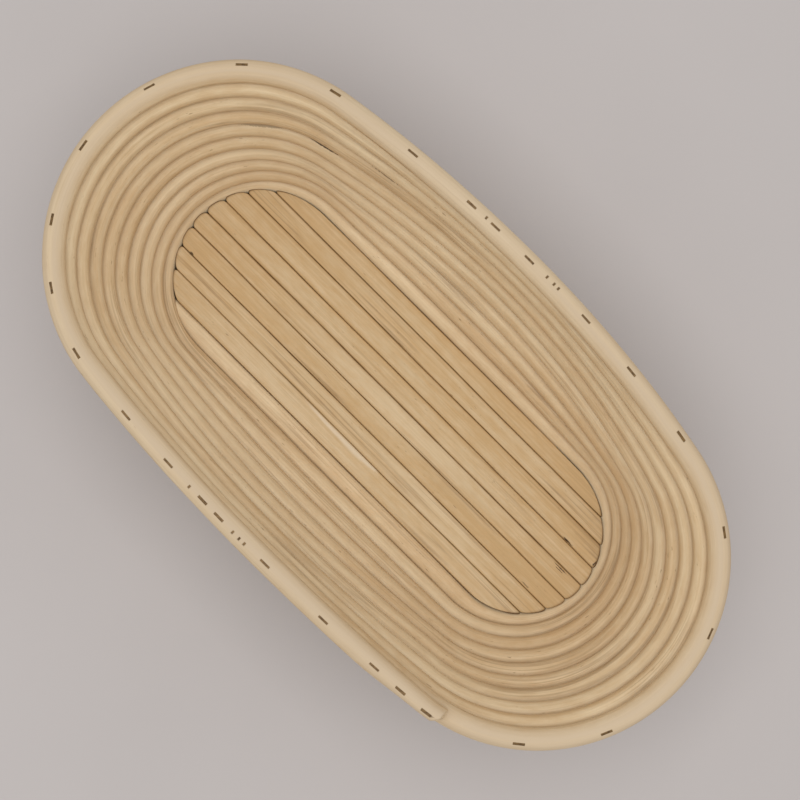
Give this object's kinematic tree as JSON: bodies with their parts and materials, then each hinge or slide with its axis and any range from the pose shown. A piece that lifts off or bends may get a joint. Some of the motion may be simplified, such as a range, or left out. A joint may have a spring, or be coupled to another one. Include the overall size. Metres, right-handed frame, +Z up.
{
  "type": "proofing basket",
  "caption": "Oval proofing basket of coiled cane: straight floor canes inside a flared spiral wall, stapled at the rim, standing on cross battens. Holds and shapes bread dough.",
  "frame": {"origin": "on the resting plane, under the middle of the basket's bounding box", "axes": "+X along the basket towards the end where the rim cane stops, +Z up"},
  "size_m": [0.3418, 0.1756, 0.1064],
  "materials": {
    "floor_cane": "peeled cane, matte",
    "wall_cane": "peeled cane, matte",
    "batten": "sawn strip, matte",
    "wire": "dulled wire"
  },
  "bodies": {
    "root": {"floor_cane_1": "floor_cane", "floor_cane_2": "floor_cane", "floor_cane_3": "floor_cane", "floor_cane_4": "floor_cane", "floor_cane_5": "floor_cane", "floor_cane_6": "floor_cane", "floor_cane_7": "floor_cane", "floor_cane_8": "floor_cane", "wall_cane_lower": "wall_cane", "wall_cane_middle": "wall_cane", "wall_cane_upper": "wall_cane", "rim_staple_01": "wire", "rim_staple_02": "wire", "rim_staple_03": "wire", "rim_staple_04": "wire", "rim_staple_05": "wire", "rim_staple_06": "wire", "rim_staple_07": "wire", "rim_staple_08": "wire", "rim_staple_09": "wire", "rim_staple_10": "wire", "rim_staple_11": "wire", "rim_staple_12": "wire", "rim_staple_13": "wire", "rim_staple_14": "wire", "rim_staple_15": "wire", "rim_staple_16": "wire", "rim_staple_17": "wire", "rim_staple_18": "wire", "rim_staple_19": "wire", "rim_staple_20": "wire", "rim_staple_21": "wire", "rim_staple_22": "wire", "rim_staple_23": "wire", "rim_staple_24": "wire", "rim_staple_25": "wire", "rim_staple_26": "wire", "rim_staple_27": "wire", "rim_brad_1": "wire", "rim_brad_2": "wire", "rim_brad_3": "wire", "rim_brad_4": "wire", "rim_brad_5": "wire", "rim_brad_6": "wire", "rim_brad_7": "wire", "rim_brad_8": "wire", "underside_batten_left": "batten", "underside_batten_right": "batten", "batten_staple_1": "wire", "batten_staple_2": "wire", "batten_staple_3": "wire", "batten_staple_4": "wire", "batten_staple_5": "wire", "batten_staple_6": "wire", "batten_staple_7": "wire", "batten_staple_8": "wire"}
  },
  "joints": []
}
